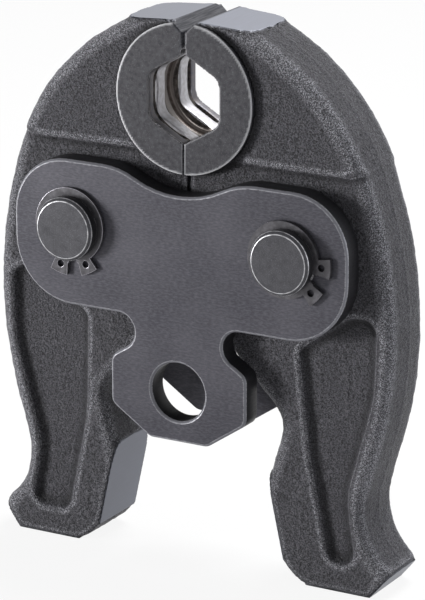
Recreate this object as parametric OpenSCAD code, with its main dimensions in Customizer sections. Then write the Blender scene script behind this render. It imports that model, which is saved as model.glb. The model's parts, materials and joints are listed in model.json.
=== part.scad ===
// Press fitting tool jaw: two forged levers that hinge on two pins between a pair of side plates
// and close a split hexagonal die round a pipe fitting.
// Origin: centre of the machine bolt's bore. X across the levers, Y through the thickness, Z up.
// Outlines are drawn from the line through both hinge pins, as corners [x, z, corner radius].

/* [Layout] */
// Distance between the two hinge pins
pin_spacing = 56; // [54:0.5:58]
// Height of the pins above the machine bolt's bore
pin_height = 35.8; // [34.8:0.1:37]
// Height of the die's centre above the pins
die_rise = 32.7; // [32:0.1:33.5]
// Depth of the feet below the pins
foot_drop = 79.2; // [77.5:0.1:82]

/* [Side plates] */
// Thickness of each side plate
plate_t = 5.5; // [5:0.1:6]
// Clear gap between the two side plates
plate_gap = 17; // [16.8:0.1:17.6]
// Height of the plate's top edge above the pins
plate_top = 15.7; // [15.2:0.1:17]
// Depth of the plate's shoulders below the pins
plate_bottom = 19; // [18.5:0.1:20]
// How far the plate reaches outside the pins' axes
plate_reach = 15.4; // [14.5:0.1:16.5]
// Depth of the dip in the middle of the top edge
dip_depth = 4.9; // [3:0.1:5.5]
// Half width of the neck between shoulders and tail
neck_half = 11.6; // [10.5:0.1:12.5]
// Half width of the tail that holds the machine bolt
tail_half = 17.8; // [17:0.1:19]
// Radius of the machine bolt's bore
bolt_bore_r = 7; // [6.5:0.1:7.5]
// Distance from the machine bolt's centre to the tail's lower edge
tail_drop = 12.1; // [11.5:0.1:13]
// Width of the small bevel round the plates' outer edges
plate_bevel = 0.5; // [0.2:0.1:0.8]

/* [Pins and clips] */
// Diameter of the hinge pins
pin_d = 15; // [14:0.1:15.4]
// Radial running clearance of a pin in its holes
pin_play = 0.05; // [0.03:0.01:0.08]
// How far a pin's end stands proud of the side plate
pin_proud = 4; // [3:0.1:5]
// Bevel on a pin's ends
pin_bevel = 0.7; // [0.3:0.1:1]
// Depth of the clip groove in a pin
groove_depth = 0.35; // [0.3:0.05:0.5]
// Thickness of the retaining clips
clip_t = 1; // [0.8:0.1:1.2]
// Axial play of a clip in its groove
clip_play = 0.05; // [0.03:0.01:0.1]
// Width of a clip opposite its gap
clip_width = 2.2; // [1.8:0.1:2.6]
// How far a clip's eyes reach from the pin's groove
eye_reach = 4.5; // [4:0.1:4.8]
// Diameter of the pliers' holes in a clip's eyes
eye_hole_d = 1.7; // [1.4:0.1:2]
// Direction in which the left clips open
left_clip_angle = -84; // [-120:1:-60]
// Direction in which the right clips open
right_clip_angle = -23; // [-60:1:10]

/* [Levers] */
// Play between a lever and each side plate
side_play = 0.1; // [0.05:0.01:0.3]
// How far the head's raised field stands above the arm, on each side
field_rise = 1; // [0.5:0.1:1.3]
// Radius of the forged edges
edge_r = 3; // [2:0.1:3.2]
// Draft of the forged sides from the parting line
draft_angle = 3; // [1:0.5:4]
// Radius of the head's outer arc
head_r = 54.2; // [53:0.2:55]
// Gap between the lower cheeks of the two levers
cheek_gap = 14; // [12:0.5:16]
// Slope of the roller ramp from the vertical
ramp_angle = 12.3; // [10:0.1:14]
// Depth of the forged pocket in each arm
pocket_depth = 1.8; // [1:0.1:2.2]
// How much wider the pocket on a lever's wide side is, towards the ramp
pocket_extra = 3.2; // [0:0.1:3.6]

/* [Die] */
// Radius of the turned die boss
boss_r = 17.5; // [17:0.1:18.5]
// Thickness of the die from face to face
die_t = 22; // [20.5:0.1:23]
// Distance across the flats of the pressing hexagon
hex_af = 18.1; // [16:0.1:19]
// Rounding of the hexagon's corners
hex_corner_r = 3; // [2:0.1:4]
// Depth of the bead groove beyond the hexagon's flats
bead_depth = 2.3; // [1.8:0.1:2.6]
// Width of the bead groove
bead_width = 6.6; // [5:0.1:7]
// Length of each lip of the hexagon along the pipe
lip_length = 2.5; // [2:0.1:3]
// Width of the relief groove behind each lip
relief_width = 1.3; // [1:0.1:1.8]
// Gap between the levers at the top of the split
split_top = 0.9; // [0.6:0.1:1.2]
// Gap between the levers at the bottom of the split
split_bottom = 0.3; // [0.2:0.05:0.6]
// Width of the lead-in notch at the top of the split
notch_width = 6; // [4:0.1:7]
// Depth of the lead-in notch
notch_depth = 2.7; // [2:0.1:3.5]
// Height of the die's top edge above the die's centre
crown_rise = 17.7; // [17:0.1:18.2]
// Fall of the machined crown away from the split
crown_angle = 4; // [3:0.5:6]

/* [Closing spring] */
// Depth of the closing spring's seats below the pins
spring_drop = 12; // [10:0.5:14]
// Depth of a spring seat in the lever's cheek
seat_depth = 8; // [6:0.5:9]
// Outer diameter of the closing spring
spring_d = 7.6; // [6:0.1:8]
// Diameter of the spring's wire
wire_d = 1.2; // [0.8:0.1:1.4]
// Turns of the spring
spring_turns = 7; // [5:1:9]
// Radial clearance of the spring in its seat
seat_play = 0.4; // [0.2:0.1:0.6]

/* [Hidden] */
$fn = 96;
// Cutters run past the solid by this much
past = 1;
// Degrees of arc between two points of an outline, and the most that its chords may cut off a wide arc
arc_step = 9;
arc_sag = 0.1;
// Smallest corner that an inset outline keeps
least_r = 0.15;
// How far a lever's blank runs across the split before it is cut there
over_split = 20;

pin_x = pin_spacing / 2;
plates_half = plate_gap / 2 + plate_t;
arm_half = plate_gap / 2 - side_play;
field_half = arm_half + field_rise;
groove_r = pin_d / 2 - groove_depth;
clip_face = plates_half + clip_play / 2;

// Height of the step between arm and raised field, and the length over which it runs
step_z = 20;
step_run = 1;

// Centre of the head's outer arc, seen from the pin, and the arc's ends in degrees
head_in = 33.3;
head_under = 0.6;
head_centre = [pin_x - head_in, -head_under];
head_from = 60;
head_to = 17;

// Unit vector along v
function unit(v) = v / norm(v);

// Corners are walked clockwise, so a turn to the left is a hollow corner
function hollow(c, i) =
    let (n = len(c), p = c[i], a = c[(i + n - 1) % n], b = c[(i + 1) % n])
    (p.x - a.x) * (b.y - p.y) - (p.y - a.y) * (b.x - p.x) > 0;

// Half of the angle inside corner i
function half_angle(c, i) =
    let (n = len(c), p = [c[i].x, c[i].y], a = c[(i + n - 1) % n], b = c[(i + 1) % n])
    acos(max(-1, min(1, unit([a.x, a.y] - p) * unit([b.x, b.y] - p)))) / 2;

// Steps of the arc at corner i, none for a sharp corner
function arc_steps(c, i) = c[i][2] == 0 ? 0 :
    let (step = min(arc_step, 2 * acos(max(0, 1 - arc_sag / c[i][2]))))
    max(2, ceil((180 - 2 * half_angle(c, i)) / step));

// The arc at corner i as points
function corner_arc(c, i, steps) =
    steps == 0 ? [[c[i].x, c[i].y]] :
    let (n = len(c), p = [c[i].x, c[i].y], a = c[(i + n - 1) % n], b = c[(i + 1) % n],
         u = unit([a.x, a.y] - p), v = unit([b.x, b.y] - p), h = half_angle(c, i), r = c[i][2],
         centre = p + unit(u + v) * r / sin(h),
         first = p + u * r / tan(h) - centre,
         sweep = (180 - 2 * h) * (hollow(c, i) ? 1 : -1))
    [for (k = [0 : steps])
        let (t = atan2(first.y, first.x) + sweep * k / steps)
        centre + r * [cos(t), sin(t)]];

// Corners moved inwards by d, with round corners that shrink and hollow ones that grow
function inset_corners(c, d) =
    [for (i = [0 : len(c) - 1])
        let (n = len(c), p = [c[i].x, c[i].y], a = c[(i + n - 1) % n], b = c[(i + 1) % n],
             e = unit(p - [a.x, a.y]), f = unit([b.x, b.y] - p),
             m = [e.y, -e.x], k = [f.y, -f.x], q = p + d * (m + k) / (1 + m * k),
             r = c[i][2])
        [q.x, q.y, r == 0 ? 0 : hollow(c, i) ? r + d : max(least_r, r - d)]];

// Outline of the corners moved inwards by d, with as many points for every d
function outline(c, d = 0) =
    let (moved = inset_corners(c, d))
    [for (i = [0 : len(c) - 1]) each corner_arc(moved, i, arc_steps(c, i))];

// Corners and their mirror images, as one outline that is walked clockwise
function both_sides(c) = concat(c, [for (i = [len(c) - 1 : -1 : 0]) [-c[i].x, c[i].y, c[i][2]]]);

// Positive where a, b, c turn to the right
function right_turn(a, b, c) = (b.y - a.y) * (c.x - b.x) - (b.x - a.x) * (c.y - b.y);

// Whether corner i of a ring can be cut off: it isn't hollow and no other point lies in its triangle
function is_ear(points, ring, i) =
    let (n = len(ring), a = ring[(i + n - 1) % n], b = ring[i], c = ring[(i + 1) % n],
         p = points[a], q = points[b], r = points[c])
    right_turn(p, q, r) > 0 &&
    len([for (k = ring)
        if (k != a && k != b && k != c && right_turn(p, q, points[k]) >= 0
            && right_turn(q, r, points[k]) >= 0 && right_turn(r, p, points[k]) >= 0) k]) == 0;

function first_ear(points, ring, i = 0) =
    i == len(ring) - 1 || is_ear(points, ring, i) ? i : first_ear(points, ring, i + 1);

// A flat ring of points cut into triangles, because a fan would fold over its hollows
function triangles(points, ring) =
    len(ring) == 3 ? [ring] :
    let (n = len(ring), i = first_ear(points, ring))
    concat([[ring[(i + n - 1) % n], ring[i], ring[(i + 1) % n]]],
           triangles(points, [for (k = [0 : n - 1]) if (k != i) ring[k]]));

// Solid through rings of equally many points, closed by flat faces at its front and back.
// The sides of twisted rings aren't flat, so each is split in two.
module loft(rings, front, back, twisted = false) {
    n = len(rings[0]);
    last = len(rings) - 1;
    sides = [for (k = [0 : last - 1]) for (i = [0 : n - 1])
        let (j = (i + 1) % n, near = k * n, far = near + n)
        each twisted ? [[near + j, near + i, far + i], [near + j, far + i, far + j]]
                     : [[near + j, near + i, far + i, far + j]]];
    backs = [for (face = back) [for (i = [len(face) - 1 : -1 : 0]) last * n + face[i]]];
    polyhedron(points = [for (ring = rings) each ring], faces = concat(front, sides, backs), convexity = 6);
}

// Prism along Y whose outline is moved inwards at each level [y, inset]
module profile_loft(corners, levels) {
    outlines = [for (level = levels) outline(corners, level[1])];
    whole = [for (i = [0 : len(outlines[0]) - 1]) i];
    loft([for (k = [0 : len(levels) - 1]) [for (p = outlines[k]) [p.x, levels[k][0], p.y]]],
         triangles(outlines[0], whole), triangles(outlines[len(levels) - 1], whole));
}

// Flat shape in X and Z given a thickness along Y
module slab(from, to) {
    translate([0, to, 0]) rotate([90, 0, 0]) linear_extrude(to - from) children();
}

// Round bar along Y at [x, z]
module bar(x, z, r, from, to) {
    translate([x, to, z]) rotate([90, 0, 0]) cylinder(r = r, h = to - from);
}

// Corners of the right half of a side plate, from the top of the dip to the tail
dip_r = 24;
dip_from = 6.1;
dip_to = 15.5;
shoulder_r = 14;
haunch_r = 15;
neck_r = 4.2;
neck_run = 8.8;
tail_r = 3;
tail_slope = 32.5;
tail_flat = 7.6;
tail_chamfer = 6.9;
neck_floor = -plate_bottom - 6.6;
plate_corners = both_sides([
    [dip_from, plate_top - dip_depth, dip_r],
    [dip_to, plate_top, dip_r * 0.75],
    [pin_x + plate_reach, plate_top, shoulder_r],
    [pin_x + plate_reach, -plate_bottom, haunch_r],
    [neck_half, -plate_bottom, neck_r],
    [neck_half, neck_floor, neck_r],
    [tail_half, neck_floor - (tail_half - neck_half) * tan(tail_slope), tail_r],
    [tail_half, -pin_height - tail_drop + tail_chamfer, tail_r],
    [tail_flat, -pin_height - tail_drop, tail_r]]);

// Side plate with its bevelled face at the outside, drawn as the front one
module plate_blank() {
    profile_loft(plate_corners, [
        [-plates_half, plate_bevel],
        [-plates_half + plate_bevel, 0],
        [-plate_gap / 2, 0]]);
}

// Bevelled mouth of a hole in the front plate's outer face
module mouth(x, z, r) {
    translate([x, -plates_half - plate_bevel, z]) rotate([-90, 0, 0])
        cylinder(r1 = r + 2 * plate_bevel, r2 = r, h = 2 * plate_bevel);
}

module front_plate_shape() {
    translate([0, 0, pin_height]) difference() {
        plate_blank();
        for (side = [-1, 1])
            bar(side * pin_x, 0, pin_d / 2 + pin_play, -plates_half - past, -plate_gap / 2 + past);
        bar(0, -pin_height, bolt_bore_r, -plates_half - past, -plate_gap / 2 + past);
        mouth(0, -pin_height, bolt_bore_r);
    }
}

module front_plate() {
    color([0.30, 0.29, 0.32]) front_plate_shape();
}

module rear_plate() {
    color([0.30, 0.29, 0.32]) mirror([0, 1, 0]) front_plate_shape();
}

// Hinge pin: a turned bar with bevelled ends and a clip groove at each end
module hinge_pin(side) {
    end = plates_half + pin_proud;
    r = pin_d / 2;
    groove_end = plates_half + clip_t + clip_play;
    color([0.36, 0.36, 0.37]) translate([side * pin_x, 0, pin_height]) rotate([90, 0, 0])
        rotate_extrude()
            polygon([
                [0, -end], [r - pin_bevel, -end], [r, -end + pin_bevel],
                [r, -groove_end], [groove_r, -groove_end], [groove_r, -plates_half], [r, -plates_half],
                [r, plates_half], [groove_r, plates_half], [groove_r, groove_end], [r, groove_end],
                [r, end - pin_bevel], [r - pin_bevel, end], [0, end]]);
}

module left_pin() {
    hinge_pin(-1);
}

module right_pin() {
    hinge_pin(1);
}

// Retaining clip seen from the front: a ring that narrows to two eyes beside its gap
eye_spread = 21;
eye_half = 12.5;
gap_half = 7.5;
clip_eccentricity = 0.35;
module clip_outline(angle) {
    outer = groove_r + clip_width - clip_eccentricity;
    eye_r = groove_r + eye_reach;
    hole_at = groove_r + eye_reach / 2;
    rotate(angle) difference() {
        union() {
            translate([-clip_eccentricity, 0]) circle(r = outer);
            for (side = [-1, 1]) rotate(side * eye_spread) intersection() {
                circle(r = eye_r);
                polygon([[0, 0], [eye_r * 1.1, -eye_r * tan(eye_half)], [eye_r * 1.1, eye_r * tan(eye_half)]]);
            }
        }
        circle(r = groove_r + clip_play / 2);
        for (side = [-1, 1]) rotate(side * eye_spread) translate([hole_at, 0]) circle(d = eye_hole_d);
        polygon([[0, 0], [2 * eye_r, -2 * eye_r * tan(gap_half)], [2 * eye_r, 2 * eye_r * tan(gap_half)]]);
    }
}

// One clip on the pin at side, in front (face -1) or behind (face 1)
module clip(side, face, angle) {
    color([0.13, 0.13, 0.14]) translate([side * pin_x, 0, pin_height])
        slab(face * (clip_face + clip_t / 2) - clip_t / 2, face * (clip_face + clip_t / 2) + clip_t / 2)
            clip_outline(angle);
}

module front_left_clip() {
    clip(-1, -1, left_clip_angle);
}

module front_right_clip() {
    clip(1, -1, right_clip_angle);
}

module rear_left_clip() {
    clip(-1, 1, left_clip_angle);
}

module rear_right_clip() {
    clip(1, 1, right_clip_angle);
}

// Corner of a tangent polygon round an arc of the head, between two directions in degrees
function head_corner(from, to) =
    let (mid = (from + to) / 2, reach = head_r / cos((from - to) / 2))
    [head_centre.x + reach * cos(mid), head_centre.y + reach * sin(mid), head_r];

// Directions at which the head's arc passes the upper and the lower edge of the step
step_over = asin((step_z + step_run - head_centre.y) / head_r);
step_under = asin((step_z - step_run - head_centre.y) / head_r);
brow = head_corner(head_from, step_over);

// The ramp: a straight line up the inside of the arm, from the heel to the peak
heel_x = pin_x - 2.3;
heel_r = 9;
peak_up = 25.5;
peak_x = heel_x - peak_up * tan(ramp_angle);
peak_z = -foot_drop + peak_up;
throat = [pin_x - 4.25, -40.4, 7];

// Stock left on the forging for machining the ramp and the foot
stock = 3;
throat_slope = (throat.x - peak_x) / (throat.y - peak_z);
under_peak = stock / (throat_slope + tan(ramp_angle));

cheek_x = cheek_gap / 2;
blank_corners = [
    [-over_split, step_z - step_run, 0],
    [-over_split, step_z + step_run, 0],
    [-over_split, brow.y + (brow.x + over_split) / tan(head_from), 0],
    brow,
    head_corner(step_under, head_to),
    [pin_x + 28.3, -17, 100],
    [pin_x + 14.9, -foot_drop + 14.6, 16],
    [pin_x + 24.3, -foot_drop + 6, 3.6],
    [pin_x + 21, -foot_drop - stock, 3.6],
    [heel_x - stock, -foot_drop - stock, 3.6],
    [peak_x - under_peak * throat_slope, peak_z - under_peak, 3.6],
    throat,
    [cheek_x, -22.8, 6],
    [cheek_x, -4, 4],
    [-over_split, step_z - step_run - 12, 0]];

// First point of corner i in the blank's outline
function first_point(i) = i == 0 ? 0 : first_point(i - 1) + arc_steps(blank_corners, i - 1) + 1;
// Points that lie on the raised field: from the blank's second corner to the end of its brow
field_first = first_point(1);
field_last = first_point(4) - 1;

// One ring of the blank: the outline moved inwards, at a depth below the faces
function blank_ring(face, below, inset) =
    let (points = outline(blank_corners, inset))
    [for (i = [0 : len(points) - 1])
        let (half = i >= field_first && i <= field_last ? field_half : arm_half)
        [points[i].x, face * (half - below), points[i].y]];

// Forged blank of the right lever: round edges, drafted sides and the parting line in the middle
edge_turns = [90, 65, 40, 20, 0];
module lever_blank() {
    draft = tan(draft_angle) * (arm_half - edge_r);
    fronts = [for (t = edge_turns) blank_ring(-1, edge_r * (1 - sin(t)), draft + edge_r * (1 - cos(t)))];
    parting = [for (p = outline(blank_corners)) [p.x, 0, p.y]];
    backs = [for (k = [len(edge_turns) - 1 : -1 : 0])
        let (t = edge_turns[k]) blank_ring(1, edge_r * (1 - sin(t)), draft + edge_r * (1 - cos(t)))];
    count = len(parting);
    face = outline(blank_corners, draft + edge_r);
    field = triangles(face, [for (i = [field_first : field_last]) i]);
    arm = triangles(face, [0, each [for (i = [field_last + 1 : count - 1]) i]]);
    step = [[0, field_first, field_last], [0, field_last, field_last + 1]];
    faces = concat(field, step, arm);
    loft(concat(fronts, [parting], backs), faces, faces);
}

// Forged pocket in the arm's front face, the given amount wider towards the ramp
function pocket_corners(extra) = [
    [pin_x - 0.2 - extra / 4, -22.5, 3],
    [pin_x + 13, -13, 6],
    [pin_x + 20.3, -12.6, 4],
    [pin_x + 19.8, -31, 30],
    [pin_x + 13, -foot_drop + 22.7, 16],
    [pin_x + 15.7, -foot_drop + 6.4, 3.5],
    [pin_x + 8 - extra, -foot_drop + 6.4, 3.5],
    [pin_x + 2.8 - extra, -foot_drop + 31.7, 40]];
pocket_draft = 1.2;
module pocket(extra = 0) {
    slope = pocket_draft / pocket_depth;
    profile_loft(pocket_corners(extra), [
        [-arm_half - past, -past * slope],
        [-arm_half + pocket_depth * 0.7, pocket_depth * 0.7 * slope],
        [-arm_half + pocket_depth, pocket_draft * 1.4]]);
}

// Pressing hexagon with a corner at the top and at the bottom of the split
module hexagon() {
    reach = hex_af / sqrt(3);
    polygon(outline([for (i = [0 : 5])
        [reach * sin(60 * i), reach * cos(60 * i), i % 3 == 0 ? 0 : hex_corner_r]]));
}

// Grooves turned inside the die, as half a section: the bead groove with its two steps, and two reliefs
relief_depth = 1.15;
relief_chamfer = 0.4;
shoulder_part = 0.6;
slope_from = 0.62;
slope_to = 0.5;
module die_grooves() {
    flat = hex_af / 2;
    bead = flat + bead_depth;
    shoulder = flat + bead_depth * shoulder_part;
    relief = flat + relief_depth;
    half = bead_width / 2;
    outer = die_t / 2 - lip_length;
    inner = outer - relief_width;
    rotate_extrude() union() {
        polygon([[0, -half], [shoulder, -half], [shoulder, -half * slope_from], [bead, -half * slope_to],
                 [bead, half * slope_to], [shoulder, half * slope_from], [shoulder, half], [0, half]]);
        for (side = [-1, 1]) mirror([0, side > 0 ? 0 : 1])
            polygon([[0, inner], [relief - relief_chamfer, inner], [relief, inner + relief_chamfer],
                     [relief, outer], [0, outer]]);
    }
}

// Everything that is machined away for the die
module die_cut() {
    translate([0, 0, die_rise]) {
        slab(-die_t / 2 - past, die_t / 2 + past) hexagon();
        rotate([90, 0, 0]) die_grooves();
    }
}

// What the machined planes leave of a lever, as corners [x, z, corner radius]: the split with its
// lead-in notch, the crown that falls away from it, the toe's cut, the foot and the ramp
toe_x = pin_x + 19;
toe_angle = 50;
machined_corners =
    let (top = die_rise + crown_rise, far = 3 * pin_x, above = 12)
    [[split_bottom / 2, peak_z + above, 0],
     [split_bottom / 2, die_rise - boss_r, 0],
     [split_top / 2, top - notch_depth, 0],
     [notch_width / 2, top, 0],
     [far, top - (far - notch_width / 2) * tan(crown_angle), 0],
     [far, -foot_drop + (far - toe_x) * tan(toe_angle), 0],
     [toe_x, -foot_drop, 3],
     [heel_x, -foot_drop, heel_r],
     [peak_x - above * tan(ramp_angle), peak_z + above, 0]];

// The right lever, with the narrow pocket in front and the wide one behind
module right_jaw_shape() {
    difference() {
        intersection() {
            union() {
                lever_blank();
                bar(0, die_rise, boss_r, -die_t / 2, die_t / 2);
            }
            slab(-die_t, die_t) polygon(outline(machined_corners));
        }
        bar(pin_x, 0, pin_d / 2 + pin_play, -die_t, die_t);
        die_cut();
        pocket();
        mirror([0, 1, 0]) pocket(pocket_extra);
        translate([cheek_x - past, 0, -spring_drop]) rotate([0, 90, 0])
            cylinder(r = spring_d / 2 + seat_play, h = seat_depth + past);
    }
}

module right_jaw() {
    color([0.20, 0.20, 0.21]) translate([0, 0, pin_height]) right_jaw_shape();
}

// The left lever is the same forging, turned round
module left_jaw() {
    color([0.20, 0.20, 0.21]) translate([0, 0, pin_height]) rotate([0, 0, 180]) right_jaw_shape();
}

// Closing spring: a round wire on a helix along X between the two seats
end_play = 0.3;
spring_half = cheek_x + seat_depth - wire_d / 2 - end_play;
rings_a_turn = 10;
wire_sides = 6;
module closing_spring() {
    coil_r = (spring_d - wire_d) / 2;
    last = spring_turns * rings_a_turn;
    wire_end = [for (i = [0 : wire_sides - 1]) i];
    function along(k) = -spring_half + 2 * spring_half * k / last;
    rings = [for (k = [0 : last])
        let (t = 360 * k / rings_a_turn)
        [for (i = [0 : wire_sides - 1])
            let (s = -360 * i / wire_sides, r = coil_r + wire_d / 2 * cos(s))
            [along(k) + wire_d / 2 * sin(s), r * cos(t), r * sin(t)]]];
    color([0.55, 0.55, 0.57]) translate([0, 0, pin_height - spring_drop])
        loft(rings, [wire_end], [wire_end], twisted = true);
}

left_jaw();
right_jaw();
front_plate();
rear_plate();
left_pin();
right_pin();
front_left_clip();
front_right_clip();
rear_left_clip();
rear_right_clip();
closing_spring();
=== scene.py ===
"""Dresses a packed press fitting tool jaw: forged levers with a machined die, brushed side plates,
turned hinge pins, blackened retaining clips and a closing spring, in a pale studio."""

import json
import math

import bmesh
import bpy
import numpy as np
from mathutils import Matrix, Vector, noise


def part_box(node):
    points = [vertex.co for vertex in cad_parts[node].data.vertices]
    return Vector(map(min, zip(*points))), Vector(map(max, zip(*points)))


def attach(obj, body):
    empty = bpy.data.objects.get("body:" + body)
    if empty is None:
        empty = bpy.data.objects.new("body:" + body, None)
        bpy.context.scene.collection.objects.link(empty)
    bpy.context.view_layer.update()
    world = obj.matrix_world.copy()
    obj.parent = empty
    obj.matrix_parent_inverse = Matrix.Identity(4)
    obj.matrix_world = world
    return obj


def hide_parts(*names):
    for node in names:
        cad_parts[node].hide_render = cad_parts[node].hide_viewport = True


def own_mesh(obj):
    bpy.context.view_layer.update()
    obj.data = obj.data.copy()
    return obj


bl_info = {
    "name": "Press Fitting Tool Jaw",
    "version": (1, 0, 0),
    "blender": (4, 5, 0),
    "location": "View3D > Sidebar > Press Jaw",
    "description": "Forged, brushed and turned steel for a packed press jaw, and its studio",
    "category": "Object",
}

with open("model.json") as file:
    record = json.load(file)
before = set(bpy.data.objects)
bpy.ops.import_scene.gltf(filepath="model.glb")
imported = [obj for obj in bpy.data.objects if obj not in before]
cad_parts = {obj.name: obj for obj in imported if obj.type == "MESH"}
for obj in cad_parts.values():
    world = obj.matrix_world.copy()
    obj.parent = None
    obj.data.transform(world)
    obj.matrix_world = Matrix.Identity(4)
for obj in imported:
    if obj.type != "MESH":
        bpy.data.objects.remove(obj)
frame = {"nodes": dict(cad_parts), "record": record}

MM = 0.001

# Measures of the solids, in millimetres from the machine bolt's centre
DIE_HEIGHT = 68.5
BOSS_R = 17.5
BOSS_HALF = 11.0
FIELD_HALF = 9.4
CAVITY_R = 11.7
CROWN_HEIGHT = 86.2
CROWN_START = 3.0
CROWN_ANGLE = math.radians(4)
NOTCH_DEPTH = 2.7
SPLIT_TOP = 0.45
SPLIT_BOTTOM = 0.15
RAMP_ANGLE = math.radians(12.3)
RAMP_PEAK = -17.9
TOE_ANGLE = math.radians(50)
TOE_X = 47.0
HEEL_X = 25.7

# A skin's point is on a machined face when it is this near to it, in millimetres, and its normal
# agrees with the face's direction this well
NEAR_FACE = 0.4
FACE_AGREEMENT = 0.5

# Smoothing steps this large, in millimetres, count as a fully rubbed edge or a crease in full
# painted shade
RUBBED_STEP = 0.012
CREASE_SHADE_STEP = 0.02

# Painted reflections and shade in the die: the tone of each band, from its share of the way between
# the die's middle and its face
DIE_LIGHT_BANDS = (
    (0.0, (0.26, 0.24, 0.23)), (0.09, (0.07, 0.055, 0.048)), (0.16, (0.16, 0.14, 0.13)),
    (0.22, (0.03, 0.025, 0.023)), (0.30, (0.52, 0.52, 0.55)), (0.655, (0.015, 0.014, 0.015)),
    (0.775, (0.10, 0.10, 0.115)), (0.96, (0.35, 0.35, 0.37)))
DIE_DUST = (0.2, 0.17, 0.155)

# Bare steel where rubbing has gone through the scale
BARE_EDGE = (0.34, 0.34, 0.37)
BARE_SPECK = (0.3, 0.3, 0.32)
# Painted highlight, with a little bare worn steel, on the boss's rim and along the split
RIM_HIGHLIGHT_TONE = (0.55, 0.55, 0.57)
GROUND_STREAK = (0.2, 0.205, 0.23)

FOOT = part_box("right_jaw")[0].z / MM
SIDES = {"left": -1, "right": 1}


def centre_of(node):
    """Middle of a CAD node's box."""
    low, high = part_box(node)
    return (low + high) / 2


class ForgingSettings(bpy.types.PropertyGroup):
    """Skin of the forged levers."""

    detail: bpy.props.FloatProperty(
        name="Detail", description="Edge of the small squares that the skin is made of",
        default=0.43 * MM, unit="LENGTH")
    soften: bpy.props.IntProperty(
        name="Softening", description="Smoothing passes that round the forged edges", default=4)
    grain_height: bpy.props.FloatProperty(
        name="Grain Height", description="Height of the scale's coarse grain",
        default=0.09 * MM, unit="LENGTH")
    grain_size: bpy.props.FloatProperty(
        name="Grain Size", description="Width of one coarse grain", default=1.5 * MM, unit="LENGTH")
    wave_height: bpy.props.FloatProperty(
        name="Wave Height", description="Height of the forging's slow waves",
        default=0.14 * MM, unit="LENGTH")
    wave_size: bpy.props.FloatProperty(
        name="Wave Size", description="Width of one slow wave", default=9 * MM, unit="LENGTH")
    seam_height: bpy.props.FloatProperty(
        name="Seam Height", description="Height of the trimmed parting line",
        default=0.14 * MM, unit="LENGTH")
    scale_colour: bpy.props.FloatVectorProperty(
        name="Scale", description="Blackened forging", subtype="COLOR",
        default=(0.059, 0.0573, 0.067))
    # Painted shade: the dark tone put in the grain's pits and in the creases
    pit_shade_colour: bpy.props.FloatVectorProperty(
        name="Pits", description="Scale in the grain's pits", subtype="COLOR",
        default=(0.010, 0.0097, 0.0115))
    # Rubbed edges, and also the paler tone of the painted sheen on the grain's tops
    worn_and_sheen_colour: bpy.props.FloatVectorProperty(
        name="Worn Edge", description="Forged edges rubbed bright", subtype="COLOR",
        default=(0.25, 0.25, 0.27))
    turned_colour: bpy.props.FloatVectorProperty(
        name="Die Face", description="Turned and blackened face of the die", subtype="COLOR",
        default=(0.014, 0.0135, 0.018))
    # Painted shade: the split's and the notch's faces get a near-black tone for the dark they
    # reflect
    cut_shade_colour: bpy.props.FloatVectorProperty(
        name="Sawn Cut", description="Faces of the split and of its notch", subtype="COLOR",
        default=(0.020, 0.021, 0.028))
    ground_colour: bpy.props.FloatVectorProperty(
        name="Ground Steel", description="Crown of the head", subtype="COLOR",
        default=(0.23, 0.24, 0.28))
    # Painted shade: a darker copy of the ground steel for the low faces, such as the ramps, which
    # face downward
    ramp_shade_colour: bpy.props.FloatVectorProperty(
        name="Ramps", description="Oiled steel of the ramps that the rollers run on",
        subtype="COLOR", default=(0.06, 0.064, 0.08))


class SteelSettings(bpy.types.PropertyGroup):
    """Machined pieces."""

    plate_colour: bpy.props.FloatVectorProperty(
        name="Plates", description="Brushed side plates", subtype="COLOR",
        default=(0.0365, 0.0355, 0.0465))
    pin_colour: bpy.props.FloatVectorProperty(
        name="Pins", description="Turned hinge pins", subtype="COLOR",
        default=(0.036, 0.0355, 0.041))
    # Painted highlight on the bevels round the plates
    bevel_highlight_colour: bpy.props.FloatVectorProperty(
        name="Bevels", description="Bevels round the plates", subtype="COLOR",
        default=(0.150, 0.150, 0.170))
    # Painted shade for the sides of the plates
    wall_shade_colour: bpy.props.FloatVectorProperty(
        name="Walls", description="Sides of the plates and pins", subtype="COLOR",
        default=(0.016, 0.0155, 0.018))
    clip_colour: bpy.props.FloatVectorProperty(
        name="Clips", description="Blackened spring steel", subtype="COLOR",
        default=(0.062, 0.060, 0.066))
    spring_colour: bpy.props.FloatVectorProperty(
        name="Spring", description="Bare spring wire", subtype="COLOR",
        default=(0.42, 0.42, 0.44))
    edge_bevel: bpy.props.FloatProperty(
        name="Edge Bevel", description="Broken edge of a machined piece", default=0.14 * MM,
        unit="LENGTH")
    coil_count: bpy.props.IntProperty(name="Coils", description="Turns of the spring", default=7)
    wire_radius: bpy.props.FloatProperty(
        name="Wire Radius", description="Radius of the spring's wire", default=0.6 * MM,
        unit="LENGTH")


class StudioSettings(bpy.types.PropertyGroup):
    """Light and camera."""

    key_power: bpy.props.FloatProperty(
        name="Key", description="Power of the lamp low at the left", default=7.0, unit="POWER")
    fill_power: bpy.props.FloatProperty(
        name="Fill", description="Power of the lamp at the right, a little behind", default=3.6,
        unit="POWER")
    top_power: bpy.props.FloatProperty(
        name="Top", description="Power of the lamp overhead", default=8.5, unit="POWER")
    ambient: bpy.props.FloatProperty(
        name="Ambient", description="Strength of the even light all round", default=0.11)
    lens: bpy.props.FloatProperty(
        name="Lens", description="Focal length in millimetres", default=217.2, unit="CAMERA")


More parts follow.
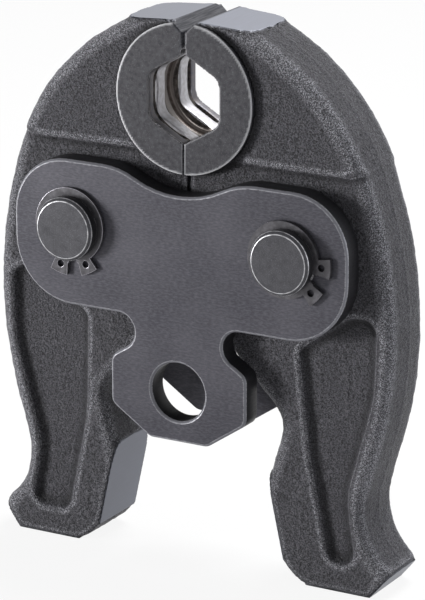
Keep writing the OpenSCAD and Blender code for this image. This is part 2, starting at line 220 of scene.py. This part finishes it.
class Finish:
    """A material under construction, with its nodes added by type and linked by socket name."""

    def __init__(self, name):
        self.material = bpy.data.materials.new(name)
        self.material.use_nodes = True
        self.tree = self.material.node_tree
        self.shader = self.tree.nodes["Principled BSDF"]
        self.place = self.add("ShaderNodeTexCoord").outputs["Object"]

    def add(self, kind, inputs=None, **settings):
        """A new node, with its settings made and its inputs set or linked."""
        node = self.tree.nodes.new(kind)
        for name, value in settings.items():
            setattr(node, name, value)
        for name, value in (inputs or {}).items():
            if isinstance(value, bpy.types.NodeSocket):
                self.tree.links.new(value, node.inputs[name])
            else:
                node.inputs[name].default_value = value
        return node

    def mapped(self, scale, location=(0, 0, 0)):
        """Object coordinates, stretched."""
        return self.add("ShaderNodeMapping", {
            "Vector": self.place, "Scale": scale, "Location": location}).outputs["Vector"]

    def noise(self, scale, detail=3.0, roughness=0.55, vector=None):
        """Noise between about 0.3 and 0.7."""
        return self.add("ShaderNodeTexNoise", {
            "Vector": vector or self.place, "Scale": scale, "Detail": detail,
            "Roughness": roughness}).outputs["Fac"]

    def spread(self, value, low, high, to_low=0.0, to_high=1.0):
        """value from low to high, mapped between two results and held there."""
        return self.add("ShaderNodeMapRange", {
            "Value": value, "From Min": low, "From Max": high, "To Min": to_low,
            "To Max": to_high}).outputs["Result"]

    def calc(self, operation, a, b=0.0):
        """Result of a sum on two values."""
        node = self.add("ShaderNodeMath", {0: a}, operation=operation)
        if isinstance(b, bpy.types.NodeSocket):
            self.tree.links.new(b, node.inputs[1])
        else:
            node.inputs[1].default_value = b
        return node.outputs["Value"]

    def blend(self, amount, a, b):
        """Colour a where amount is 0 and b where it is 1."""
        node = self.add("ShaderNodeMix", data_type="RGBA")
        factor, first, second = (node.inputs[at] for at in (0, 6, 7))
        for socket, value in ((factor, amount), (first, a), (second, b)):
            if isinstance(value, bpy.types.NodeSocket):
                self.tree.links.new(value, socket)
            else:
                socket.default_value = (*value, 1.0) if socket.type == "RGBA" else value
        return node.outputs[2]

    def painted(self, name):
        """Value of a mesh attribute."""
        return self.add("ShaderNodeAttribute", attribute_name=name).outputs["Fac"]

    def bumped(self, height, depth, below=None):
        """Normal of a relief of that height in metres."""
        inputs = {"Height": height, "Strength": 1.0, "Distance": depth}
        if below is not None:
            inputs["Normal"] = below
        return self.add("ShaderNodeBump", inputs).outputs["Normal"]

    def finish(self, **sockets):
        """Sets or links the shader's sockets."""
        for name, value in sockets.items():
            socket = self.shader.inputs[name.replace("_", " ").title().replace("Ior", "IOR")]
            if isinstance(value, bpy.types.NodeSocket):
                self.tree.links.new(value, socket)
            else:
                socket.default_value = (*value, 1.0) if socket.type == "RGBA" else value
        return self.material


def lever_steel(settings):
    """Blackened forging with a turned die face, ground crown and ramps, and a die painted with
    bands of reflection and shade.
    """
    steel = Finish("lever_steel")
    turned, ground, cut = (steel.painted(name) for name in ("turned", "ground", "cut"))
    bore, worn, crease = (steel.painted(name) for name in ("bore", "worn", "crease"))
    blotch = steel.noise(150, 3)
    pits = steel.noise(2900, 4, 0.6)
    lumps = steel.noise(1250, 3, 0.5)
    speck = steel.noise(3900, 2, 0.5)
    lathe = steel.noise(900, 2, 0.5)
    lines = steel.noise(1, 3, 0.6, steel.mapped((2600, 160, 2600)))
    along = steel.add("ShaderNodeSeparateXYZ", {"Vector": steel.place}).outputs

    # Painted shade and highlight: the pits that the bump sinks are painted dark, and the grain's
    # tops are painted paler as a sheen
    sheen = steel.calc(
        "MULTIPLY", steel.spread(pits, 0.46, 0.68), steel.spread(blotch, 0.3, 0.7, 0.4, 1))
    rubbed = steel.calc(
        "MULTIPLY", steel.spread(worn, 0.2, 0.9), steel.spread(speck, 0.51, 0.58))
    scale = steel.blend(
        steel.spread(pits, 0.36, 0.56), settings.pit_shade_colour, settings.scale_colour)
    scale = steel.blend(steel.calc("MULTIPLY", sheen, 0.4), scale, settings.worn_and_sheen_colour)
    scale = steel.blend(steel.spread(worn, 0.2, 1, 0, 0.07), scale, settings.worn_and_sheen_colour)
    scale = steel.blend(rubbed, scale, BARE_EDGE)
    # Painted shade: concave creases of the forging are darkened towards the pits' tone
    scale = steel.blend(steel.spread(crease, 0.1, 0.9, 0, 0.8), scale, settings.pit_shade_colour)
    scale = steel.blend(steel.spread(speck, 0.69, 0.74, 0, 0.6), scale, BARE_SPECK)

    face = steel.blend(
        steel.spread(lathe, 0.3, 0.7, 0, 0.12), settings.turned_colour, settings.worn_and_sheen_colour)
    face = steel.blend(steel.spread(speck, 0.6, 0.74, 0, 0.3), face, settings.worn_and_sheen_colour)
    # Painted highlight, partly bare worn steel, on the boss's rim and the split's edge
    face = steel.blend(steel.painted("rim"), face, RIM_HIGHLIGHT_TONE)

    shine = steel.blend(
        steel.spread(lines, 0.35, 0.65, 0, 0.35), settings.ground_colour, GROUND_STREAK)
    # Painted shade: the ground steel gets darker towards the bottom, from 20 mm below the bolt's
    # centre down
    shine = steel.blend(
        steel.spread(along["Z"], -0.02, 0, 0.45, 0), shine, settings.ramp_shade_colour)
    # Painted shade on the split's and the notch's faces, with real saw lines in a paler tone
    shaded_sawn = steel.blend(
        steel.spread(lines, 0.4, 0.65, 0, 0.3), settings.cut_shade_colour, settings.worn_and_sheen_colour)

    # Painted reflections and shade: bands of bright and dark by depth in the die, dusted by the
    # lathe noise
    depth = steel.calc("ABSOLUTE", along["Y"])
    bands = steel.add("ShaderNodeValToRGB", {"Fac": steel.spread(depth, 0, BOSS_HALF * MM)})
    stops = bands.color_ramp
    stops.interpolation = "CONSTANT"
    for at, tone in DIE_LIGHT_BANDS:
        stop = stops.elements[0] if at == 0 else stops.elements.new(at)
        stop.color = (*tone, 1)
    stops.elements.remove(stops.elements[-1])
    die = steel.blend(
        steel.spread(lathe, 0.35, 0.7, 0, 0.4), bands.outputs["Color"], DIE_DUST)

    colour = steel.blend(turned, scale, face)
    colour = steel.blend(ground, colour, shine)
    colour = steel.blend(cut, colour, shaded_sawn)
    colour = steel.blend(bore, colour, die)
    smooth = steel.calc("MAXIMUM", ground, bore)
    machined = steel.calc("MAXIMUM", steel.calc("MAXIMUM", turned, cut), smooth)
    rough = steel.spread(machined, 0, 1, 1, 0)
    bumps = steel.bumped(steel.calc("MULTIPLY", lumps, rough), 0.9 * MM)
    bumps = steel.bumped(steel.calc("MULTIPLY", pits, rough), 0.5 * MM, bumps)
    bumps = steel.bumped(steel.calc("MULTIPLY", lines, ground), 0.012 * MM, bumps)
    return steel.finish(
        base_color=colour,
        metallic=steel.spread(smooth, 0, 1, 0.1, 0.75),
        roughness=steel.spread(smooth, 0, 1, 0.48, 0.44),
        specular_ior_level=steel.spread(smooth, 0, 1, 0.26, 0.5),
        normal=bumps)


def brushed_steel(settings):
    """Side plates, brushed across."""
    steel = Finish("brushed_plate_steel")
    strokes = steel.noise(1, 4, 0.65, steel.mapped((110, 400, 2600)))
    cloud = steel.noise(60, 2)
    fleck = steel.noise(1, 3, 0.6, steel.mapped((900, 1500, 2600)))
    colour = steel.blend(
        steel.spread(strokes, 0.3, 0.7, 0, 0.8), settings.plate_colour,
        tuple(0.66 * c for c in settings.plate_colour))
    colour = steel.blend(steel.spread(cloud, 0.35, 0.7, 0, 0.2), colour, (0.14, 0.135, 0.155))
    colour = steel.blend(steel.spread(fleck, 0.42, 0.72, 0, 0.22), colour, (0.2, 0.195, 0.22))
    # Painted highlight: the plates' bevels are lightened
    colour = steel.blend(steel.painted("slope"), colour, settings.bevel_highlight_colour)
    # Painted shade: the plates' sides are darkened
    colour = steel.blend(steel.painted("wall"), colour, settings.wall_shade_colour)
    # Painted highlight along the plates' broken edges, varied by the fleck noise
    rim_highlight = steel.calc("MULTIPLY", steel.painted("rim"), steel.spread(fleck, 0.35, 0.62, 0.15, 1))
    colour = steel.blend(rim_highlight, colour, (0.26, 0.26, 0.28))
    return steel.finish(
        base_color=colour, metallic=0.3, specular_ior_level=0.35,
        roughness=steel.spread(strokes, 0.3, 0.7, 0.38, 0.52),
        normal=steel.bumped(strokes, 0.02 * MM))


def turned_steel(name, colour, centre, metallic=0.4, roughness=0.38):
    """Lathe-turned steel with rings round an axis along Y."""
    steel = Finish(name)
    place = steel.mapped((1, 1, 1), tuple(-c for c in centre))
    rings = steel.add("ShaderNodeTexWave", {
        "Vector": place, "Scale": 900, "Distortion": 1.5, "Detail": 2.0},
        wave_type="RINGS", rings_direction="Y").outputs["Fac"]
    wear = steel.noise(700, 3)
    grit = steel.noise(3000, 2)
    tone = steel.blend(
        steel.spread(wear, 0.35, 0.7, 0, 0.3), colour, tuple(1.7 * c for c in colour))
    tone = steel.blend(steel.spread(grit, 0.5, 0.72, 0, 0.35), tone, tuple(3 * c for c in colour))
    # Painted shade: the pins' sides are darkened to half their tone
    tone = steel.blend(steel.painted("wall"), tone, tuple(0.5 * c for c in colour))
    # Painted highlight along the pins' broken edges
    edge = steel.calc("MULTIPLY", steel.painted("rim"), steel.spread(wear, 0.35, 0.6, 0.35, 1))
    tone = steel.blend(edge, tone, (0.5, 0.5, 0.52))
    return steel.finish(
        base_color=tone, metallic=metallic,
        roughness=steel.spread(wear, 0.3, 0.7, roughness - 0.05, roughness + 0.08),
        normal=steel.bumped(rings, 0.006 * MM))


def spring_steel(name, colour, roughness):
    """Plain steel with a little uneven gloss."""
    steel = Finish(name)
    wear = steel.noise(900, 3)
    tone = steel.blend(
        steel.spread(wear, 0.45, 0.75, 0, 0.4), colour, tuple(min(1, 2.4 * c) for c in colour))
    # Painted highlight along the broken edges of the clips
    tone = steel.blend(steel.painted("rim"), tone, tuple(min(1, 5 * c) for c in colour))
    return steel.finish(
        base_color=tone, metallic=0.6,
        roughness=steel.spread(wear, 0.3, 0.7, roughness - 0.05, roughness + 0.1))


def joined_copy(node, dissolve=True):
    """A CAD node's mesh with its loose triangles joined, in a new bmesh."""
    shape = bmesh.new()
    shape.from_mesh(frame["nodes"][node].data)
    bmesh.ops.remove_doubles(shape, verts=shape.verts, dist=0.002 * MM)
    if dissolve:
        bmesh.ops.dissolve_limit(
            shape, angle_limit=math.radians(0.6), verts=shape.verts, edges=shape.edges)
    return shape


def placed(shape, name, material, body):
    """Turns a bmesh into a finished piece that rides on a body."""
    mesh = bpy.data.meshes.new(name)
    shape.to_mesh(mesh)
    shape.free()
    mesh.materials.append(material)
    piece = bpy.data.objects.new(name, mesh)
    bpy.context.scene.collection.objects.link(piece)
    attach(piece, body)
    return piece


def dressed_copy(node, name, material, body, bevel):
    """A machined CAD node with its sharp edges broken and marked for a painted highlight, and its
    bevels and sides marked too.
    """
    shape = joined_copy(node)
    rim = shape.faces.layers.float.new("rim")
    wall = shape.faces.layers.float.new("wall")
    slope = shape.faces.layers.float.new("slope")
    for face in shape.faces:
        tilt = abs(face.normal.y)
        face[wall] = 1.0 if tilt < 0.3 else 0.0
        face[slope] = 1.0 if 0.3 < tilt < 0.95 else 0.0
    sharp = [
        edge for edge in shape.edges
        if len(edge.link_faces) == 2 and edge.calc_face_angle(0) > math.radians(28)]
    made = bmesh.ops.bevel(
        shape, geom=sharp, offset=bevel, offset_type="OFFSET", affect="EDGES", segments=2,
        profile=0.5, material=-1, clamp_overlap=True)
    for face in made["faces"]:
        face[rim] = 1.0
    for face in shape.faces:
        face.smooth = abs(face.normal.y) < 0.999
    for edge in shape.edges:
        edge.smooth = len(edge.link_faces) != 2 or edge.calc_face_angle(0) < math.radians(32)
    piece = placed(shape, name, material, body)
    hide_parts(node)
    return piece


class Skin:
    """A dense skin over a lever, as arrays in millimetres seen as the right lever."""

    def __init__(self, mesh, side):
        self.mesh = mesh
        self.turn = np.array([side, side, 1.0])
        count = len(mesh.vertices)
        flat = np.empty(count * 3)
        mesh.vertices.foreach_get("co", flat)
        self.place = flat.reshape(count, 3) * self.turn / MM
        ends = np.empty(len(mesh.edges) * 2, dtype=np.int64)
        mesh.edges.foreach_get("vertices", ends)
        self.ends = ends.reshape(-1, 2)
        self.degree = np.bincount(self.ends.ravel(), minlength=count)[:, None]

    def mean_of_neighbours(self, values):
        """Mean of each point's neighbours."""
        total = np.zeros_like(values)
        for a, b in ((0, 1), (1, 0)):
            for axis in range(values.shape[1]):
                total[:, axis] += np.bincount(
                    self.ends[:, a], weights=values[self.ends[:, b], axis], minlength=len(values))
        return total / self.degree

    def store(self):
        """Writes the places back to the mesh."""
        self.mesh.vertices.foreach_set("co", (self.place * self.turn * MM).ravel())
        self.mesh.update()

    def normals(self):
        self.store()
        flat = np.empty(len(self.mesh.vertices) * 3)
        self.mesh.vertices.foreach_get("normal", flat)
        return flat.reshape(-1, 3) * self.turn

    def paint(self, name, values):
        self.mesh.attributes.new(name, "FLOAT", "POINT").data.foreach_set("value", values.ravel())


def inside(distance, width=0.3):
    """1 where distance is well above nought, 0 below, with a short slope between."""
    return np.clip(0.5 + distance / width, 0, 1)


def facing(angle):
    """Direction in the plane of X and Z, at an angle from +X."""
    return np.array([math.cos(angle), 0.0, math.sin(angle)])


def machined_faces(place):
    """The right lever's machined faces: kind, height above the face, direction and reach."""
    x, y, z = place.T
    notch_floor = CROWN_HEIGHT - NOTCH_DEPTH
    notch_angle = math.atan2(CROWN_START - SPLIT_TOP, NOTCH_DEPTH) + math.pi / 2
    split_floor = DIE_HEIGHT - BOSS_R
    lean = (SPLIT_TOP - SPLIT_BOTTOM) / (notch_floor - split_floor)
    planes = (
        ("ground", (CROWN_START, CROWN_HEIGHT), math.pi / 2 - CROWN_ANGLE, x > CROWN_START - 0.3),
        ("cut", (CROWN_START, CROWN_HEIGHT), notch_angle, z > notch_floor - 0.3),
        ("cut", (SPLIT_TOP, notch_floor), math.pi - lean, z < notch_floor + 0.3),
        ("ground", (HEEL_X, FOOT), math.pi + RAMP_ANGLE, z < RAMP_PEAK + 0.3),
        ("ground", (TOE_X, FOOT), TOE_ANGLE - math.pi / 2, z < FOOT + 9),
        ("ground", (HEEL_X, FOOT), -math.pi / 2, z < FOOT + 1))
    for kind, (at_x, at_z), angle, reach in planes:
        direction = facing(angle)
        height = (place - (at_x, 0, at_z)) @ direction
        yield kind, height, np.tile(direction, (len(place), 1)), reach
    out = place * (1, 0, 1) - (0, 0, DIE_HEIGHT)
    radius = np.linalg.norm(out, axis=1)
    ahead = np.zeros_like(place)
    ahead[:, 1] = np.sign(y)
    on_boss = radius < BOSS_R + 0.3
    yield "turned", np.abs(y) - BOSS_HALF, ahead, on_boss
    yield "turned", radius - BOSS_R, out / radius[:, None], np.abs(y) > FIELD_HALF + 0.35


def relief(place, steps, seed):
    """Fractal noise at each point."""
    shift = Vector((seed * 37.0, seed * 11.0, 0.0))
    return np.array([noise.fractal(Vector(p) * steps + shift, 1.0, 2.0, 3) for p in place])


def pad_outline(place, normal):
    """A faint raised outline with round ends on the floor of the right lever's front pocket."""
    x, y, z = place.T
    low, high, middle, half_width = 0.2, 10.4, 36.6, 3.3
    to_line = np.hypot(x - middle, z - np.clip(z, low, high))
    on_floor = (y < -5.8) & (normal[:, 1] < -0.9)
    return 0.3 * np.exp(-((to_line - half_width) / 0.35) ** 2) * on_floor


def skinned(node, name, detail):
    """A CAD node's shape under an even skin of small squares, as a new object."""
    blank = joined_copy(node, dissolve=False)
    source = bpy.data.meshes.new(name)
    blank.to_mesh(source)
    blank.free()
    piece = bpy.data.objects.new(name, source)
    bpy.context.scene.collection.objects.link(piece)
    remesh = piece.modifiers.new("skin", "REMESH")
    remesh.mode = "VOXEL"
    remesh.voxel_size = detail
    remesh.adaptivity = 0
    dressed = bpy.data.meshes.new_from_object(
        piece.evaluated_get(bpy.context.evaluated_depsgraph_get()))
    piece.modifiers.clear()
    piece.data = dressed
    dressed.name = name
    bpy.data.meshes.remove(source)
    return piece


def faces_found(skin, bore):
    """The kind of each machined face, and which of the skin's points lie on it."""
    normal = skin.normals()
    found = []
    for kind, height, direction, reach in machined_faces(skin.place):
        near = (np.abs(height) < NEAR_FACE) & reach & (bore < 0.5)
        found.append((kind, near & (np.sum(normal * direction, axis=1) > FACE_AGREEMENT)))
    return found


def smoothed(skin, faces, bore, passes):
    """Rounds the skin's edges, with the die left alone and the machined faces held flat."""
    for _ in range(passes):
        step = 0.5 * (skin.mean_of_neighbours(skin.place) - skin.place)
        skin.place += step * (1 - bore)[:, None]
        for (_, on), (_, height, direction, _) in zip(faces, machined_faces(skin.place)):
            skin.place[on] -= height[on, None] * direction[on]


def edge_marks(skin, forged):
    """How far each point is a rubbed edge, and how far a crease that is painted in shade."""
    normal = skin.normals()
    curve = -np.sum((skin.mean_of_neighbours(skin.place) - skin.place) * normal, axis=1)[:, None]
    for _ in range(2):
        curve = skin.mean_of_neighbours(curve)
    worn = np.clip(curve / RUBBED_STEP, 0, 1) * np.interp(curve, (0.013, 0.022), (1, 0.25))
    return worn, np.clip(-curve / CREASE_SHADE_STEP, 0, 1) * forged[:, None]


def forge_lever(side_name, settings, material):
    """The forged skin of one lever, with crisp machined faces."""
    side = SIDES[side_name]
    piece = skinned(side_name + "_jaw", side_name + "_lever", settings.detail)
    skin = Skin(piece.data, side)
    x, y, z = skin.place.T
    bore = inside(CAVITY_R - np.hypot(x, z - DIE_HEIGHT)) * inside(BOSS_HALF - 0.2 - np.abs(y))
    faces = faces_found(skin, bore)
    masks = {kind: np.zeros(len(skin.place)) for kind in ("turned", "ground", "cut")}
    for kind, on in faces:
        masks[kind][on] = 1
    forged = 1 - np.max([*masks.values(), bore], axis=0)
    smoothed(skin, faces, bore, settings.soften)
    worn, crease = edge_marks(skin, forged)

    x, y, z = skin.place.T
    normal = skin.normals()
    rough = skin.mean_of_neighbours(forged[:, None])[:, 0] * forged
    flank = np.clip(1.4 - 4 * np.abs(normal[:, 1]), 0, 1)
    seam = settings.seam_height / MM * np.exp(-(y / 0.45) ** 2) * flank
    grain = settings.grain_height / MM * relief(skin.place, MM / settings.grain_size, side + 2)
    wave = settings.wave_height / MM * relief(skin.place, MM / settings.wave_size, side + 5)
    height = (grain + wave + seam) * rough
    if side_name == "right":
        height += pad_outline(skin.place, normal)
    skin.place += height[:, None] * normal
    skin.store()

    # The boss's rim and the split's edge on the die face are marked for a painted highlight
    reach = np.hypot(x, z - DIE_HEIGHT)
    at_circle = inside(0.25 - np.abs(reach - BOSS_R))
    at_split = 0.6 * inside(0.2 - np.abs(x - SPLIT_TOP / 2))
    on_front = inside(np.abs(y) - BOSS_HALF + 0.3) * inside(BOSS_R + 0.3 - reach)
    marks = {
        **masks, "bore": bore, "worn": worn, "crease": crease,
        "rim": np.maximum(at_circle, at_split) * on_front}
    for name, values in marks.items():
        skin.paint(name, values)
    for polygon in piece.data.polygons:
        polygon.use_smooth = True
    piece.data.materials.clear()
    piece.data.materials.append(material)
    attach(piece, side_name + "_lever")
    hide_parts(side_name + "_jaw")


class JAW_OT_forge_levers(bpy.types.Operator):
    """Lay a forged skin over both levers, with the machined die, crown and ramps left crisp"""

    bl_idname = "jaw.forge_levers"
    bl_label = "Forge Levers"

    def execute(self, context):
        settings = context.scene.jaw_forging
        material = lever_steel(settings)
        for side_name in SIDES:
            forge_lever(side_name, settings, material)
        return {"FINISHED"}


class JAW_OT_brush_plates(bpy.types.Operator):
    """Break the side plates' edges and brush their faces"""

    bl_idname = "jaw.brush_plates"
    bl_label = "Brush Plates"

    def execute(self, context):
        settings = context.scene.jaw_steel
        material = brushed_steel(settings)
        for end in ("front", "rear"):
            dressed_copy(
                end + "_plate", end + "_side_plate", material, "frame",
                settings.edge_bevel)
        return {"FINISHED"}


class JAW_OT_turn_pins(bpy.types.Operator):
    """Turn the two hinge pins"""

    bl_idname = "jaw.turn_pins"
    bl_label = "Turn Pins"

    def execute(self, context):
        settings = context.scene.jaw_steel
        for side_name in SIDES:
            node = side_name + "_pin"
            material = turned_steel(
                node + "_steel", tuple(settings.pin_colour), centre_of(node))
            dressed_copy(
                node, side_name + "_hinge_pin", material, "frame",
                settings.edge_bevel)
        return {"FINISHED"}


class JAW_OT_fit_clips(bpy.types.Operator):
    """Fit the four retaining clips"""

    bl_idname = "jaw.fit_clips"
    bl_label = "Fit Clips"

    def execute(self, context):
        settings = context.scene.jaw_steel
        material = spring_steel("clip_steel", tuple(settings.clip_colour), 0.34)
        for end in ("front", "rear"):
            for side_name in SIDES:
                node = f"{end}_{side_name}_clip"
                dressed_copy(
                    node, node.replace("_clip", "_retaining_clip"), material, "frame",
                    settings.edge_bevel)
        return {"FINISHED"}


class JAW_OT_wind_spring(bpy.types.Operator):
    """Wind the closing spring in halves, each seated in its lever"""

    bl_idname = "jaw.wind_spring"
    bl_label = "Wind Spring"

    def execute(self, context):
        settings = context.scene.jaw_steel
        low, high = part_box("closing_spring")
        middle = (low + high) / 2
        wire = settings.wire_radius
        coil_r = (high.z - low.z) / 2 - wire
        half = (high.x - low.x) / 2
        steps_a_turn = 28
        steps = settings.coil_count * steps_a_turn // 2
        material = spring_steel("spring_wire_steel", tuple(settings.spring_colour), 0.3)
        for joint in frame["record"]["behaviour"]["joints"]:
            side_name = joint["child"].replace("_lever", "")
            side = SIDES[side_name]
            shape = bmesh.new()
            ring = bmesh.ops.create_circle(shape, cap_ends=False, segments=12, radius=wire)["verts"]
            bmesh.ops.rotate(
                shape, verts=ring, cent=(0, 0, 0), matrix=Matrix.Rotation(math.pi / 2, 3, "X"))
            bmesh.ops.translate(shape, verts=ring, vec=middle + Vector((0, 0, coil_r)))
            bmesh.ops.spin(
                shape, geom=shape.verts[:] + shape.edges[:], cent=middle, axis=(1, 0, 0),
                dvec=(side * (half - wire) / steps, 0, 0),
                angle=side * settings.coil_count * math.pi, steps=steps)
            loops = [edge for edge in shape.edges if edge.is_boundary]
            bmesh.ops.holes_fill(shape, edges=loops, sides=0)
            bmesh.ops.recalc_face_normals(shape, faces=shape.faces)
            for face in shape.faces:
                face.smooth = len(face.verts) == 4
            piece = placed(
                shape, side_name + "_half_of_closing_coil", material, joint["child"])
            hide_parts("closing_spring")
            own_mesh(piece)
        return {"FINISHED"}


def lamp(name, place, aim, size, power, colour=(1, 1, 1)):
    """A square area lamp that faces aim."""
    light = bpy.data.lights.new(name, "AREA")
    light.size = size
    light.energy = power
    light.color = colour
    holder = bpy.data.objects.new(name, light)
    bpy.context.scene.collection.objects.link(holder)
    holder.location = place
    holder.rotation_euler = (Vector(aim) - Vector(place)).to_track_quat("-Z", "Y").to_euler()
    return holder


def white_seen(tree, shade, glow, shown=1.0):
    """Mixes a shader with plain white wherever the camera, gloss or glass looks at it."""
    path = tree.nodes.new("ShaderNodeLightPath")
    white = tree.nodes.new(glow)
    white.inputs["Strength"].default_value = 1.0
    seen = path.outputs["Is Camera Ray"]
    for other in ("Is Glossy Ray", "Is Transmission Ray"):
        either = tree.nodes.new("ShaderNodeMath")
        either.operation = "MAXIMUM"
        tree.links.new(seen, either.inputs[0])
        tree.links.new(path.outputs[other], either.inputs[1])
        seen = either.outputs["Value"]
    if shown < 1:
        part = tree.nodes.new("ShaderNodeMath")
        part.operation = "MULTIPLY"
        part.inputs[1].default_value = shown
        tree.links.new(seen, part.inputs[0])
        seen = part.outputs["Value"]
    mix = tree.nodes.new("ShaderNodeMixShader")
    tree.links.new(seen, mix.inputs[0])
    tree.links.new(shade, mix.inputs[1])
    tree.links.new(white.outputs[0], mix.inputs[2])
    return mix.outputs[0]


class JAW_OT_build_studio(bpy.types.Operator):
    """Add the pale floor, the soft lamps, the even light all round and the camera"""

    bl_idname = "jaw.build_studio"
    bl_label = "Build Studio"

    def execute(self, context):
        settings = context.scene.jaw_studio
        shape = bmesh.new()
        bmesh.ops.create_grid(shape, x_segments=1, y_segments=1, size=3)
        bmesh.ops.translate(shape, verts=shape.verts, vec=(0, 0, FOOT * MM - 0.02 * MM))
        mesh = bpy.data.meshes.new("studio_floor")
        shape.to_mesh(mesh)
        shape.free()
        floor = bpy.data.objects.new("studio_floor", mesh)
        context.scene.collection.objects.link(floor)
        paper = Finish("studio_paper")
        paper.finish(base_color=(0.86, 0.86, 0.86), roughness=0.9)
        output = paper.tree.nodes["Material Output"]
        shown = white_seen(
            paper.tree, paper.shader.outputs["BSDF"], "ShaderNodeEmission", 0.9)
        paper.tree.links.new(shown, output.inputs["Surface"])
        mesh.materials.append(paper.material)

        world = bpy.data.worlds.new("studio_light")
        world.use_nodes = True
        context.scene.world = world
        even = world.node_tree.nodes["Background"]
        even.inputs["Color"].default_value = (0.95, 0.97, 1.0, 1)
        even.inputs["Strength"].default_value = settings.ambient
        shown = white_seen(
            world.node_tree, even.outputs["Background"], "ShaderNodeBackground")
        world.node_tree.links.new(shown, world.node_tree.nodes["World Output"].inputs["Surface"])

        middle = (0, 0, 20 * MM)
        lamp("key_lamp", (-0.62, -0.46, 0.05), middle, 0.16, settings.key_power)
        lamp("fill_lamp", (0.75, 0.1, 0.06), middle, 0.5, settings.fill_power, (0.93, 0.96, 1))
        lamp("top_lamp", (0.1, 0.35, 0.75), middle, 0.4, settings.top_power)

        camera = bpy.data.cameras.new("studio_camera")
        camera.lens = settings.lens
        camera.sensor_width = 36
        holder = bpy.data.objects.new("studio_camera", camera)
        context.scene.collection.objects.link(holder)
        place = Vector((0.3927, -0.6959, 0.2653))
        aim = Vector((0.00922, -0.014, 0.0236))
        holder.location = place
        holder.rotation_euler = (aim - place).to_track_quat("-Z", "Y").to_euler()
        camera.clip_start = 0.01
        camera.clip_end = 20
        context.scene.camera = holder
        context.scene.view_settings.view_transform = "Standard"
        return {"FINISHED"}


class JAW_PT_panel(bpy.types.Panel):
    """Steps of the jaw's look, in order"""

    bl_label = "Press Jaw"
    bl_idname = "JAW_PT_panel"
    bl_space_type = "VIEW_3D"
    bl_region_type = "UI"
    bl_category = "Press Jaw"

    def draw(self, context):
        for group in GROUPS:
            settings = getattr(context.scene, group)
            for name in settings.bl_rna.properties.keys():
                if name not in ("rna_type", "name"):
                    self.layout.prop(settings, name)
        for step in STEPS:
            self.layout.operator(step.bl_idname)


GROUPS = {"jaw_forging": ForgingSettings, "jaw_steel": SteelSettings, "jaw_studio": StudioSettings}
STEPS = (
    JAW_OT_forge_levers, JAW_OT_brush_plates, JAW_OT_turn_pins, JAW_OT_fit_clips,
    JAW_OT_wind_spring, JAW_OT_build_studio)


def register():
    for made in (*GROUPS.values(), *STEPS, JAW_PT_panel):
        bpy.utils.register_class(made)
    for name, group in GROUPS.items():
        setattr(bpy.types.Scene, name, bpy.props.PointerProperty(type=group))


def unregister():
    for name in GROUPS:
        delattr(bpy.types.Scene, name)
    for made in reversed((*GROUPS.values(), *STEPS, JAW_PT_panel)):
        bpy.utils.unregister_class(made)


def main():
    """Dresses the frame."""
    register()
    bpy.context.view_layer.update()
    for step in STEPS:
        family, call = step.bl_idname.split(".")
        getattr(getattr(bpy.ops, family), call)()


if __name__ == "__main__":
    main()
